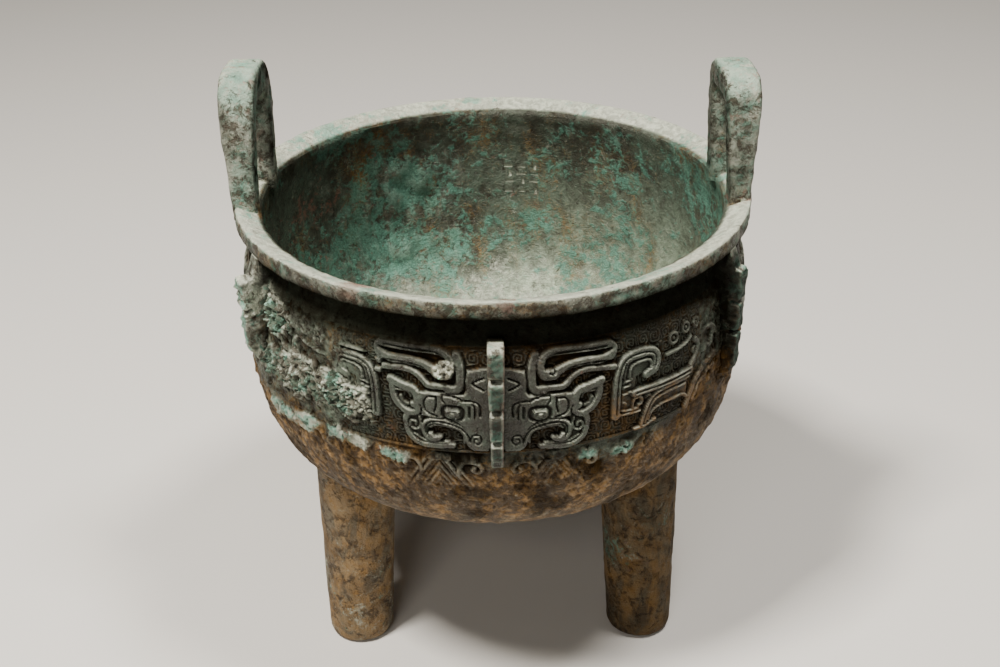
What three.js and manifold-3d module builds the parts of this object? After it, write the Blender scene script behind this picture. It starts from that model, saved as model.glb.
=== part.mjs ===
import * as THREE from 'three';
import { mergeVertices } from 'three/addons/utils/BufferGeometryUtils.js';
import Module from 'manifold-3d';

// Tripod ding cast in bronze. Millimetres, +Z up, front towards -Y, origin on the floor under the bowl.

// Bowl
const BELLY_R = 94.0;
const BELLY_Z = 139.6;
const BOWL_DEPTH_BELOW_BELLY = 70.0;
const BOWL_SQUARENESS = 3.3;
const NECK_DRAW_IN = 5.0;
const NECK_Z = 172.5;
const WALL = 4.5;
const BOWL_STEPS = 7;
const TURN_STEPS = 48;
const HOLLOW_STEPS = 36;

// Lip
const LIP_R = 95.0;
const LIP_TOP_Z = 182.2;
const LIP_SIDE_HEIGHT = 6.6;
const LIP_EDGE = 0.9;
const LIP_INNER_R = 85.6;
const LIP_DISH = 3.4;

// Legs
const LEG_TURNS = [-60, 60, 180];
const LEG_RADIUS_OUT = 66.0;
const LEG_LEAN = -0.03;
const FOOT_R = 12.8;
const FOOT_FLAT_R = 9.6;
const FOOT_ROUND = 3.2;
const LEG_FLARE = 0.026;
const LEG_TOP_Z = 90.0;
const LEG_SIDES = 16;

// Ears
const EAR_HALF_WIDTH = 18.8;
const EAR_TOP_Z = 230.0;
const EAR_FOOT_Z = 176.5;
const EAR_CORNER = 13.0;
const EAR_HOLE_HALF_WIDTH = 10.8;
const EAR_HOLE_TOP_Z = 216.5;
const EAR_HOLE_CORNER = 8.0;
const EAR_OUTER_X = [93.4, 94.2];
const EAR_INNER_X = [85.4, 81.2];
const EAR_EDGE = 2.0;

// Flanges
const FLANGE_THICK = 4.9;
const FLANGE_R = 103.0;
const FLANGE_TOP_Z = 170.0;
const FRONT_FLANGE_TOP_Z = 168.4;
const FLANGE_FOOT_Z = 122.0;
const FLANGE_SLOT = 1.6;
const FLANGE_SLOT_DEPTH = 3.6;
const FLANGE_SLOTS_Z = [157.2, 145.4, 133.6];
const SPUR_R = 97.0;
const SPUR_TOP_Z = 176.8;
const BITE = 1.4;

// Relief
const MASK_TURNS = [0, 120, 240];
const RELIEF_EDGE = 0.4;
const BOSS_SIDES = 6;

const wasm = await Module();
wasm.setup();
const { Manifold, Mesh } = wasm;
const radians = THREE.MathUtils.degToRad;
const mix = THREE.MathUtils.lerp;

// Outside of the wall at a height, without relief.
function wallRadius(z) {
  if (z >= BELLY_Z) {
    const t = Math.min((z - BELLY_Z) / (NECK_Z - BELLY_Z), 1);
    return BELLY_R - NECK_DRAW_IN * t * t;
  }
  const t = Math.min((BELLY_Z - z) / BOWL_DEPTH_BELOW_BELLY, 1);
  return BELLY_R * (1 - t ** BOWL_SQUARENESS) ** (1 / BOWL_SQUARENESS);
}

function solid(geometry) {
  const bare = geometry.index ? geometry.toNonIndexed() : geometry;
  bare.deleteAttribute('normal');
  bare.deleteAttribute('uv');
  const merged = mergeVertices(bare, 1e-4);
  const vertProperties = new Float32Array(merged.attributes.position.array);
  const corners = merged.index.array;
  const kept = [];
  for (let i = 0; i < corners.length; i += 3) {
    const [a, b, c] = [corners[i], corners[i + 1], corners[i + 2]];
    if (a !== b && b !== c && c !== a) kept.push(a, b, c);
  }
  const triVerts = outward(vertProperties, kept);
  return new Manifold(new Mesh({ numProp: 3, vertProperties, triVerts }));
}

// Turns the triangles of a closed shell so that they all face out.
function outward(points, corners) {
  let volume = 0;
  const at = (i) => new THREE.Vector3(points[3 * i], points[3 * i + 1], points[3 * i + 2]);
  for (let i = 0; i < corners.length; i += 3) {
    volume += at(corners[i]).dot(at(corners[i + 1]).cross(at(corners[i + 2])));
  }
  const turned = Uint32Array.from(corners);
  if (volume < 0) turned.reverse();
  return turned;
}

function turnedSolid(profile, sides) {
  const lathe = new THREE.LatheGeometry(profile.map(([r, z]) => new THREE.Vector2(r, z)), sides);
  lathe.rotateX(Math.PI / 2);
  return lathe;
}

// The rounded bowl below the belly, from the axis at the bottom up to the belly.
function bowlCurve(radius, depth, squareness) {
  const points = [];
  for (let i = BOWL_STEPS; i >= 1; i -= 1) {
    const t = (i / BOWL_STEPS) * (Math.PI / 2);
    const r = i === BOWL_STEPS ? 0 : radius * Math.cos(t) ** (2 / squareness);
    points.push([r, BELLY_Z - depth * Math.sin(t) ** (2 / squareness)]);
  }
  return points;
}

function filledBowl() {
  const profile = bowlCurve(BELLY_R, BOWL_DEPTH_BELOW_BELLY, BOWL_SQUARENESS);
  for (const t of [0, 0.55, 1]) {
    const z = mix(BELLY_Z, NECK_Z, t);
    profile.push([wallRadius(z), z]);
  }
  const underside = LIP_TOP_Z - LIP_SIDE_HEIGHT;
  profile.push([LIP_R - LIP_EDGE, underside]);
  profile.push([LIP_R, underside + LIP_EDGE]);
  profile.push([LIP_R, LIP_TOP_Z - LIP_EDGE]);
  profile.push([LIP_R - LIP_EDGE, LIP_TOP_Z]);
  profile.push([LIP_INNER_R, LIP_TOP_Z - LIP_DISH]);
  profile.push([0, LIP_TOP_Z - LIP_DISH]);
  return solid(turnedSolid(profile, TURN_STEPS));
}

function bowlHollow() {
  const profile = bowlCurve(BELLY_R - WALL, BOWL_DEPTH_BELOW_BELLY - WALL, BOWL_SQUARENESS);
  profile.push([BELLY_R - WALL, BELLY_Z]);
  profile.push([wallRadius(mix(BELLY_Z, NECK_Z, 0.6)) - WALL, mix(BELLY_Z, NECK_Z, 0.6)]);
  profile.push([LIP_INNER_R - 0.8, NECK_Z]);
  profile.push([LIP_INNER_R - 0.8, LIP_TOP_Z - LIP_DISH - 1.2]);
  profile.push([LIP_INNER_R + 0.5, LIP_TOP_Z - LIP_DISH + 0.6]);
  profile.push([0, LIP_TOP_Z - LIP_DISH + 0.6]);
  return solid(turnedSolid(profile, HOLLOW_STEPS));
}

function leg(turn) {
  const profile = [[0, 0], [FOOT_FLAT_R, 0], [FOOT_R - 0.7, FOOT_ROUND * 0.3], [FOOT_R, FOOT_ROUND]];
  for (const z of [45, LEG_TOP_Z]) profile.push([FOOT_R + LEG_FLARE * z, z]);
  profile.push([0, LEG_TOP_Z]);
  const body = turnedSolid(profile, LEG_SIDES);
  const spots = body.attributes.position;
  const angle = radians(turn);
  for (let i = 0; i < spots.count; i += 1) {
    const out = LEG_RADIUS_OUT + LEG_LEAN * spots.getZ(i);
    spots.setX(i, spots.getX(i) + out * Math.sin(angle));
    spots.setY(i, spots.getY(i) - out * Math.cos(angle));
  }
  return solid(body);
}

// An arch with rounded shoulders, from one foot round to the other.
function arch(half, top, corner, foot, steps) {
  const points = [[-half, foot]];
  for (const side of [-1, 1]) {
    for (let i = 0; i <= steps; i += 1) {
      const t = ((side < 0 ? i : steps - i) / steps) * (Math.PI / 2);
      const y = side * (half - corner + corner * Math.cos(t));
      points.push([y, top - corner + corner * Math.sin(t)]);
    }
  }
  points.push([half, foot]);
  return points;
}

function ear(side) {
  const outside = arch(EAR_HALF_WIDTH, EAR_TOP_Z, EAR_CORNER, EAR_FOOT_Z, 4);
  const inside = arch(EAR_HOLE_HALF_WIDTH, EAR_HOLE_TOP_Z, EAR_HOLE_CORNER, EAR_FOOT_Z, 3);
  const outline = [...outside, ...inside.reverse()].map(([y, z]) => new THREE.Vector2(y, z));
  const loop = new THREE.ExtrudeGeometry(new THREE.Shape(outline), {
    depth: 1,
    steps: 1,
    bevelEnabled: true,
    bevelThickness: 0.2,
    bevelSize: EAR_EDGE,
    bevelOffset: -EAR_EDGE,
    bevelSegments: 1,
  });
  const spots = loop.attributes.position;
  for (let i = 0; i < spots.count; i += 1) {
    const z = spots.getY(i);
    const rise = THREE.MathUtils.clamp((z - LIP_TOP_Z) / (EAR_TOP_Z - LIP_TOP_Z), 0, 1);
    const across = (spots.getZ(i) + 0.2) / 1.4;
    const x = mix(mix(...EAR_INNER_X, rise), mix(...EAR_OUTER_X, rise), across);
    spots.setXYZ(i, side * x, spots.getX(i), z);
  }
  return solid(loop);
}

// A notched flange on the wall; foot is where it ends or is broken off. A spur runs on up to the lip
// on all but the front one.
function flange(turn, foot, tipRadius) {
  const spur = turn !== 0;
  const top = spur ? FLANGE_TOP_Z : FRONT_FLANGE_TOP_Z;
  const outline = [];
  const steps = 5;
  for (let i = 0; i <= steps; i += 1) {
    const z = mix(spur ? SPUR_TOP_Z : top, foot, i / steps);
    outline.push([wallRadius(z) - BITE, z]);
  }
  outline.push([tipRadius, foot + 1.5]);
  outline.push([FLANGE_R - 0.6, foot + 6]);
  for (const z of [...FLANGE_SLOTS_Z].reverse()) {
    if (z < foot + 8) continue;
    outline.push([FLANGE_R, z - FLANGE_SLOT / 2]);
    outline.push([FLANGE_R - FLANGE_SLOT_DEPTH, z - FLANGE_SLOT / 2]);
    outline.push([FLANGE_R - FLANGE_SLOT_DEPTH, z + FLANGE_SLOT / 2]);
    outline.push([FLANGE_R, z + FLANGE_SLOT / 2]);
  }
  outline.push([FLANGE_R, top]);
  if (spur) outline.push([SPUR_R, FLANGE_TOP_Z], [SPUR_R - 3, SPUR_TOP_Z]);
  const shape = new THREE.Shape(outline.map(([r, z]) => new THREE.Vector2(r, z)));
  const plate = new THREE.ExtrudeGeometry(shape, { depth: FLANGE_THICK, steps: 1, bevelEnabled: false });
  const spots = plate.attributes.position;
  const angle = radians(turn);
  for (let i = 0; i < spots.count; i += 1) {
    const [r, z, t] = [spots.getX(i), spots.getY(i), spots.getZ(i) - FLANGE_THICK / 2];
    const x = r * Math.sin(angle) + t * Math.cos(angle);
    spots.setXYZ(i, x, -r * Math.cos(angle) + t * Math.sin(angle), z);
  }
  return solid(plate);
}

// A place on the wall: u along the wall from a flange, z up, lift out of the wall.
function onWall(place, u, z, lift) {
  const angle = radians(place.turn) + (place.hand * u) / BELLY_R;
  const r = wallRadius(z) + lift;
  return [r * Math.sin(angle), -r * Math.cos(angle), z];
}

// A closed shell through cross sections that all have the same number of corners.
function loft(sections) {
  const n = sections[0].length;
  const points = sections.flat(2);
  const corners = [];
  for (let s = 0; s + 1 < sections.length; s += 1) {
    for (let k = 0; k < n; k += 1) {
      const [a, b] = [s * n + k, s * n + ((k + 1) % n)];
      corners.push(a, b, b + n, a, b + n, a + n);
    }
  }
  const last = (sections.length - 1) * n;
  for (let k = 1; k + 1 < n; k += 1) {
    corners.push(0, k + 1, k);
    corners.push(last, last + k, last + k + 1);
  }
  const vertProperties = new Float32Array(points);
  const triVerts = outward(vertProperties, corners);
  return new Manifold(new Mesh({ numProp: 3, vertProperties, triVerts }));
}

// A raised stroke that follows a smooth line on the wall.
function stroke(place, line, width, lift, pieces) {
  const curve = new THREE.SplineCurve(line.map(([u, z]) => new THREE.Vector2(u, z)));
  const steps = place.fine ? pieces : Math.ceil(pieces * 0.6);
  const sections = [];
  for (let i = 0; i <= steps; i += 1) {
    const at = curve.getPointAt(i / steps);
    const along = curve.getTangentAt(i / steps);
    const across = (half, up) => onWall(place, at.x - along.y * half, at.y + along.x * half, up);
    const half = width / 2;
    const crown = half - RELIEF_EDGE;
    sections.push([across(half, -BITE), across(crown, lift), across(-crown, lift), across(-half, -BITE)]);
  }
  return loft(sections);
}

// A raised flat field between a lower and an upper edge, given column by column.
function field(place, columns, lift, rows) {
  const sections = columns.map(([u, low, high]) => {
    const section = [onWall(place, u, low, -BITE)];
    for (let k = 0; k <= rows; k += 1) {
      section.push(onWall(place, u, mix(low + RELIEF_EDGE, high - RELIEF_EDGE, k / rows), lift));
    }
    section.push(onWall(place, u, high, -BITE));
    return section;
  });
  return loft(sections);
}

// A rounded boss, such as an eye or a round knob.
function boss(place, u, z, halfWidth, halfHeight, lift) {
  const rings = [[1.0, -BITE], [1.0, lift * 0.4], [0.72, lift]];
  const sections = rings.map(([size, up]) => {
    const ring = [];
    for (let k = 0; k < BOSS_SIDES; k += 1) {
      const t = ((k + 0.5) / BOSS_SIDES) * Math.PI * 2;
      const [c, s] = [Math.cos(t), Math.sin(t)];
      const du = Math.sign(c) * Math.abs(c) ** 0.6 * halfWidth * size;
      const dz = Math.sign(s) * Math.abs(s) ** 0.6 * halfHeight * size;
      ring.push(onWall(place, u + du, z + dz, up));
    }
    return ring;
  });
  return loft(sections);
}

// Half of a mask with its body, from the flange it faces out to the next flange.
function halfMask(place) {
  const large = [
    field(place, [[1.6, 127.6, 157], [9.6, 128.4, 156.4]], 1.1, 2),
    field(place, [[9, 131.5, 149], [13, 136.2, 148.6], [25, 138.4, 148]], 1.1, 1),
    boss(place, 14.2, 141, 2.9, 2.2, 3.4),
    stroke(place, [[16.8, 153.6], [15, 157.4], [17.8, 161], [23, 161.6], [40, 161.2]], 2.4, 3.4, 6),
    stroke(place, [[15.6, 154.2], [21, 155], [27, 156.8], [33, 156.9], [40.4, 158.6]], 3.8, 3.2, 4),
    stroke(place, [[35.2, 150], [28.6, 148.2], [26.4, 143.6]], 2.3, 2.2, 3),
    stroke(place, [[4.6, 127.9], [8.4, 128.4], [10.2, 132.6], [14, 135.3], [20, 136], [23.4, 133.6],
      [22.4, 130.4], [19.4, 130]], 1.9, 2.2, 9),
    stroke(place, [[41, 133], [41.2, 141], [41.6, 147], [43.6, 153.8], [49, 156.2], [55.2, 155.4],
      [57, 151.6], [53.2, 148]], 3, 2, 8),
    stroke(place, [[47.6, 141.5], [60, 142], [74, 143.2]], 2.5, 2.4, 2),
    stroke(place, [[51.6, 127.6], [54, 134.4], [58.4, 138.8], [66, 139.6], [73, 139.2]], 2.8, 2, 5),
  ];
  return place.fine ? [...large, ...fineStrokes(place)] : large;
}

// The smaller strokes of half a mask.
function fineStrokes(place) {
  return [
    stroke(place, [[12.4, 160], [11.8, 155], [11.8, 150.5], [14.5, 148.8]], 3.4, 2.4, 3),
    stroke(place, [[34.6, 149.6], [33.8, 144], [31, 140.2], [26.6, 139.8]], 2, 2.2, 4),
    stroke(place, [[14, 128.2], [20.5, 127.7], [26.6, 128.8], [29.4, 132.4], [29.8, 137.4]], 2, 1.8, 5),
    boss(place, 21.6, 142.6, 1.9, 3.2, 1.8),
    stroke(place, [[16, 149.4], [21.5, 149.3], [25, 152], [29, 153.8], [39.6, 153.6]], 1.7, 2, 5),
    boss(place, 27, 134.4, 1.8, 1.8, 1.6),
    boss(place, 49.4, 137.8, 2.1, 2.1, 1.6),
    stroke(place, [[54.4, 129.4], [58, 132.8], [70, 134]], 1.8, 1.6, 3),
    boss(place, 67, 157, 2.3, 2.3, 1.6),
    boss(place, 73.2, 158, 2.2, 2.2, 1.6),
    stroke(place, [[74, 130], [79, 137], [86, 141], [92, 148]], 2.4, 1.6, 3),
  ];
}

function vessel() {
  let body = filledBowl();
  const join = (piece) => {
    body = body.add(piece);
  };
  LEG_TURNS.forEach((turn) => join(leg(turn)));
  for (const turn of MASK_TURNS) {
    for (const hand of [1, -1]) halfMask({ turn, hand, fine: turn === 0 }).forEach(join);
  }
  for (const turn of [0, 120, 180, 240]) join(flange(turn, FLANGE_FOOT_Z, FLANGE_R - 5));
  join(flange(60, FLANGE_FOOT_Z + 5, FLANGE_R - 3));
  join(flange(-60, FLANGE_FOOT_Z + 16, FLANGE_R - 4));
  body = body.subtract(bowlHollow());
  join(ear(1));
  join(ear(-1));
  return body;
}

function mesh(name, shape, material) {
  const { vertProperties, triVerts } = shape.getMesh();
  const geometry = new THREE.BufferGeometry();
  geometry.setAttribute('position', new THREE.BufferAttribute(new Float32Array(vertProperties), 3));
  geometry.setIndex(new THREE.BufferAttribute(new Uint32Array(triVerts), 1));
  const piece = new THREE.Mesh(geometry, material);
  piece.name = name;
  return piece;
}

const bronze = new THREE.MeshStandardMaterial({ color: 0x5a5540, roughness: 0.62, metalness: 0.55 });

const group = new THREE.Group();
group.name = 'ding';
group.add(mesh('ding_vessel', vessel(), bronze));

export default group;
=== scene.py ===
"""Tripod bronze ding with mask relief and a mineral patina, cast as one piece."""

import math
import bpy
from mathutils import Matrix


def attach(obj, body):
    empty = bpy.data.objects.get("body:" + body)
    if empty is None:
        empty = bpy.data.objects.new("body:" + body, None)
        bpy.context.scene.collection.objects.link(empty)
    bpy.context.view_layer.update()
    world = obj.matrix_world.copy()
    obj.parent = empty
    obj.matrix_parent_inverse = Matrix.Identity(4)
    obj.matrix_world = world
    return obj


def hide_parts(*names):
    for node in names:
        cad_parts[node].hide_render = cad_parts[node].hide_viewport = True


bl_info = {
    "name": "Bronze Ding",
    "version": (1, 0, 0),
    "blender": (4, 5, 0),
    "location": "View3D > Sidebar > Ding",
    "description": "Casts a tripod ding with mask relief, ears, legs and flanges, and sets its stage",
    "category": "Add Mesh",
}

import bmesh
import bpy
import numpy as np
from bpy.props import FloatProperty, FloatVectorProperty, PointerProperty
from mathutils import Matrix, Vector, noise

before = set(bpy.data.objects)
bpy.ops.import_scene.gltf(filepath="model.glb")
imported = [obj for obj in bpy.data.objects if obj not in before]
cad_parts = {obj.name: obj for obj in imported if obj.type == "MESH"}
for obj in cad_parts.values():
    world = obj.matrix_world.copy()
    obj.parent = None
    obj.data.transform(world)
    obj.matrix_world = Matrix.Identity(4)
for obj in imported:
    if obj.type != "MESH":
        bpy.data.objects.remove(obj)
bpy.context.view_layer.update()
NODE = "ding_vessel"
MM = 0.001

# Sizes of the relief grid: one fine cell is an eighth of a column of the turned bowl.
COLUMNS = 190
FINE_CUTS = 8
WALL_R = 94.5
CELL = math.tau * WALL_R / (COLUMNS * FINE_CUTS)
FRIEZE_LOW = 124.4
FRIEZE_ROWS = 13
FRIEZE_HIGH = FRIEZE_LOW + FRIEZE_ROWS * FINE_CUTS * CELL
# The front mask sits a little askew: raised in the middle and falling to the right.
MASK_RISE, MASK_TILT = 0.5, 0.025
# The dragon left of it is drawn out in height about its middle.
TALL_FROM, TALL_TOP, TALL_MIDDLE, TALL_STRETCH = -38.5, 156.4, 143.5, 1.16
# Degrees from the front within which the frieze is cut finely and less finely, and how finely the rest is.
FINE_SPAN, MIDDLE_SPAN = (-34.0, 50.0), (-60.0, 62.0)
MIDDLE_CUTS, BACK_CUTS = 5, 3
# Rows of faces for the hanging blades, and how finely they are cut: degrees from the front, heights and cuts.
BLADES_LOW, BLADE_ROWS = 93.0, 10
BLADE_CUTS = [(-1, 31, 108.6, FRIEZE_LOW, 6), (31, 66, 99, FRIEZE_LOW, 4), (-1, 31, 99, 108.6, 4),
              (-1, 66, BLADES_LOW, 99, 3), (66, 181, BLADES_LOW, FRIEZE_LOW, 2)]
# Inside, the lumpy place at the back left is cut too: degrees, heights and cuts.
INSIDE_CUT = (-168, -112, 92, 165, 2)
# A point this near under the plain wall belongs to its outside; the wall is carved from a height up.
SKIN, CARVED_FROM = 1.5, 92

# The half mask, drawn on the wall in rows of "along,height" pairs in millimetres, counted from its flange.
# A field is (lift, outline) and a stroke (width, lift, line); grooves go down into what lies under them.
FIELDS = [
    (1.75, "0,127.2 0,157.2 4.5,157 9.4,155.8 10,152.5 9.8,148.6 10.6,147.4 22.5,147.4 25.2,146.9 "
           "25.3,143.2 24.6,140.6 24.9,138.4 22,137.9 17,138 13,137 10.6,135.2 9.2,132.6 8.6,129.2 "
           "7.4,127.4"),
    (0.8, "24.4,137.8 24.8,133 23.6,129.6 20,128 24,127.4 27.4,128.6 29.6,132 29.8,136.6 28.4,138.4"),
    (0.9, "51,128 53.4,134.4 56.5,138.8 60,139.8 72.6,140 72.4,132 58,133 54.4,129.4"),
    (0.7, "42,135 42.6,147 44.6,152.6 47,154.4 55.6,154.4 56.4,149 49,147.4 47.6,136"),
]
RIDGES = [
    # horn
    (2.8, 3.0, "15.6,153.8 14.6,156.4 15.4,159.6 18.2,161.5 22,161.8 30,161.8 38.8,161.7"),
    (3.0, 2.9, "16.4,154.6 19,154.6 21.4,155.6 25,156.9 30,157.4 36,157.2 39.6,158.4"),
    (1.8, 2.7, "39.0,162 40.6,160.6 40.2,158.4 39.2,157"),
    (0.9, 2.4, "15.2,153.2 16.4,152.6 19,152.7 20.6,153.6"),
    (2.1, 2.2, "16.2,149.4 19,149.5 21.6,149.4 23.4,150.4 25,152.2 27.6,153.8 31,154.3 36,153.9 "
               "40.2,153.4"),
    (3.0, 2.0, "13,160.6 11.9,157.5 11.6,153.6 11.9,150.4 13,148.9 15.6,148.8"),
    # ear
    (2.9, 2.6, "25.9,143.4 26.3,145.8 27.8,147.6 31,148.3 35.3,149.7"),
    (2.4, 2.4, "34.8,149 34.6,146 33.8,143 32,140.6 30,139.1 27.6,138.8 26,139.9 26,141.4 27.4,142"),
    (0.7, 1.4, "28.3,144.6 28.9,145.9 30.4,146.4 33.6,146.4"),
    (1.3, 1.0, "29.5,141.4 31.4,142.2 32,144"),
    # jaw, fang and cheek curl
    (2.3, 2.2, "3.4,127.2 7.2,127.3 8.8,128.8 9.6,132 11.6,134.6 14.8,136 18.4,136.7 21.6,136.5 "
               "23.5,135 24,132.7 23.2,130.6 21.6,129.7 19.6,130.1"),
    (0.8, 1.4, "10.6,129 10.9,132 12.8,134 16,134.8 20,135.1 22,134"),
    (1.5, 2.6, "22,131.4 21.2,130.2 19.6,130 18.6,130.7"),
    (2.1, 2.0, "14.6,127.5 19,127 24,126.9 27,127.9 29.1,130 30.1,133 30.3,136.4 29.2,138.2"),
    (0.8, 1.5, "16,128.7 20,128.2 24.2,128.6 27.4,130.4"),
    (0.8, 1.6, "25.6,137.4 25.2,135 25.9,132.9 27.7,132.4 28.8,133.8 28.3,135.5 27,135.3 26.9,134.1"),
    # upright dragon
    (3.3, 2.1, "40.9,134.4 40.9,138 41.1,143 41.6,148 42.8,152.4 45,155 48.6,155.9 53.4,155.7 "
               "56.6,154.4 57.4,151.8 56.4,148.8 53,147.4"),
    (0.9, 1.6, "43.9,147.6 44.4,151 46,153.6 49.4,154.4 54.8,154.2 56,153.4"),
    (0.9, 1.5, "46.1,148 46.5,150.8 48,152.2 51.6,152.7 54.4,152.2 55.2,150.4 54.2,148.6 52.6,147.8"),
    (0.8, 1.4, "43,146.4 46.8,147"),
    (0.8, 1.4, "42.9,144.4 46.3,145"),
    (0.8, 1.4, "43.2,141.8 46.6,142.4"),
    (2.9, 2.4, "47.9,141.6 54,141.7 62,141.6 70,141.8 73.5,142"),
    (1.1, 2.0, "51.2,128.2 52.4,132 54,135.6 56.4,138.4 60,139.4 66,139.7 72.6,139.6"),
    (1.0, 1.8, "52.8,128.6 54,132 55.4,134.9 58,136.9 64,137.6 71,137.4"),
    (1.0, 1.8, "54.2,129.4 55.4,131.8 58,133.3 64,134 70,133.6 72.4,131.6"),
    (1.1, 1.8, "48.6,127.1 52,127.1 57.2,128.6"),
    (0.9, 1.5, "47.4,136.4 47.8,138.8 49.6,139.6 51.2,138.6 51,136.8 49.6,136.4"),
    (0.8, 1.3, "42.3,136.6 42.6,138.4 43.8,139 44.8,138"),
    (0.8, 1.3, "53,138.4 54.2,139.2 55,138.2"),
    (0.9, 1.6, "40.2,134.8 44,134.1 50.4,134.0"),
    (0.8, 1.4, "42.2,135.9 46,135.3 49.8,135.3"),
    # beside the leg flange
    (1.0, 1.3, "62,151.6 67,151.8 72,152.9 74.6,154.2"),
    (1.8, 1.6, "74.4,143.4 77,146.4 78.6,150 76.6,152.6"),
    (1.8, 1.6, "82,146 86.4,147 89,150.6 87,153.6 83.4,153.4"),
    (2.2, 1.8, "72.4,127.6 75,132.6 78.4,137 83,140 90,141.4"),
    (1.4, 1.5, "76.6,128.4 79.4,132.6 84,135.4 91,136.4"),
]
GROOVES = [
    (0.5, 0.8, "8.6,129.6 9.4,132 11.5,134.6 14.8,136 18.4,136.6 21.4,136.3 23.2,134.8 23.5,132.8 "
               "22.8,131"),
    (0.5, 0.7, "41,135 41,138 41.2,143 41.7,148 42.9,152.2 45.1,154.8 48.6,155.7 53.2,155.5 56.2,154.2 "
               "57,151.9 56.2,149.2"),
    (0.5, 0.8, "48.6,141.6 54,141.7 62,141.6 70,141.8 73,142"),
    (0.6, 0.8, "16.2,157 16.9,159.6 19,160.9 22,161.3 37.5,161.3"),
    (0.6, 0.8, "22,153.4 23.2,155.2 25.6,156.2 30,156.6 37.4,156.4"),
    (0.5, 0.9, "17.2,156.6 18.6,156.3 19.3,155.2 18.6,154.3 17.6,154.6"),
    (0.6, 0.7, "10.9,145.2 12.4,146.1 15,146.7 17.7,146.8"),
    (0.5, 0.6, "17.6,146.6 17.6,145.1 16.4,143.3"),
    (0.6, 0.7, "19.7,145.9 19.6,143.4 19.9,141.6 20.3,140.4"),
    (0.6, 0.7, "20.1,145.8 22.4,145.6 23.7,143.8 23.6,141.2 22.2,139.6 19.4,138.8"),
    (0.55, 0.7, "5.3,139.9 5.2,143.2 6.3,144.7 8.4,145.3 10.2,145.4"),
    (0.55, 0.7, "7,138.9 6.9,142.6 7.6,144"),
    (0.55, 0.7, "8.7,139.2 8.8,143.2"),
    (0.5, 0.6, "8.6,130.6 7.6,132.4 5.6,132.2 4.9,130.4 6,129 7.4,129.6 7.2,130.9 6.4,131"),
    (0.6, 0.8, "4.0,153.6 7.6,151.6 4.0,149.4"),
    (0.7, 0.7, "42.6,135.4 42.8,141 43.2,147.6 44.6,152.8"),
]
# The eye is (along, height, half width, half height), a ring (along, height, radius).
EYE = (14.2, 140.5, 2.7, 1.95)
RINGS = [(66, 156.4, 1.9), (72.4, 158.2, 1.7), (78.4, 158, 1.5), (77, 148.2, 1.2)]
THUNDER_WIDE, THUNDER_TALL, THUNDER_PITCH = 5.0, 4.7, 1.08
LINE_LIFT, LINE_SINK, PLAIN_GROUND = 0.80, 0.42, 0.4
BLADES = 15
BLADE_TIP = 94.5
BLADE_PITCH = 1.7
BLADE_CURL = "13.2,115.8 13,118.4 11.4,120.7 8.8,121.3 6.4,120.2 5.2,118.2 6.6,116.8 8.2,117.6 7.6,119"


def smooth(low, high, x):
    """Rises from 0 to 1 between two values."""
    t = np.clip((x - low) / (high - low), 0.0, 1.0)
    return t * t * (3.0 - 2.0 * t)


def path(row):
    """The points of a drawn row of pairs."""
    return [tuple(map(float, pair.split(","))) for pair in row.split()]


def spline(points, steps=5):
    """A smooth line through points, as a list of short straight pieces."""
    p = [np.array(q, float) for q in points]
    if len(p) < 3:
        return p
    p = [2 * p[0] - p[1]] + p + [2 * p[-1] - p[-2]]
    line = []
    for a, b, c, d in zip(p, p[1:], p[2:], p[3:]):
        for k in range(steps):
            t = k / steps
            line.append(0.5 * (2 * b + (c - a) * t + (2 * a - 5 * b + 4 * c - d) * t * t
                               + (3 * b - a - 3 * c + d) * t ** 3))
    return line + [p[-2]]


def distance(u, z, line):
    """Distance of places on the wall from a line of straight pieces."""
    best = np.full(u.shape, 1e9)
    for a, b in zip(line, line[1:]):
        d = b - a
        t = np.clip(((u - a[0]) * d[0] + (z - a[1]) * d[1]) / max(d @ d, 1e-9), 0, 1)
        best = np.minimum(best, (u - a[0] - t * d[0]) ** 2 + (z - a[1] - t * d[1]) ** 2)
    return np.sqrt(best)


def near(u, z, points, reach):
    """The places that can lie within reach of some points."""
    p = np.array(points, float)
    low, high = p.min(0) - reach, p.max(0) + reach
    return np.nonzero((u > low[0]) & (u < high[0]) & (z > low[1]) & (z < high[1]))[0]


def inside(u, z, corners):
    """How far places lie inside an outline, below zero outside it."""
    loop = [np.array(c, float) for c in corners + corners[:1]]
    odd = np.zeros(u.shape, bool)
    for a, b in zip(loop, loop[1:]):
        crosses = (a[1] > z) != (b[1] > z)
        rise = b[1] - a[1] if b[1] != a[1] else 1e-9
        odd ^= crosses & (u < (b[0] - a[0]) * (z - a[1]) / rise + a[0])
    d = distance(u, z, loop)
    return np.where(odd, d, -d)


def thunder_ground(u, z):
    """The thunder pattern of the ground: rounded square spirals, 1 on their lines and 0 between them."""
    x, y = u / THUNDER_WIDE, (z - FRIEZE_LOW) / THUNDER_TALL
    column, row = np.floor(x), np.floor(y)
    x, y = (x - column - 0.5) * THUNDER_WIDE, (y - row - 0.5) * THUNDER_TALL
    x = np.where((column + row) % 2 == 1, -x, x)
    out = (np.abs(x) ** 4 + np.abs(y) ** 4) ** 0.25
    return 0.5 + 0.5 * np.cos(math.tau * out / THUNDER_PITCH - np.arctan2(y, x))


def across(u, z, width, row):
    """The places near a stroke, and how far across it each lies: 0 in its middle, 1 at its sides."""
    points = path(row)
    k = near(u, z, points, width)
    return k, distance(u[k], z[k], spline(points)) / (width / 2)


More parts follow.
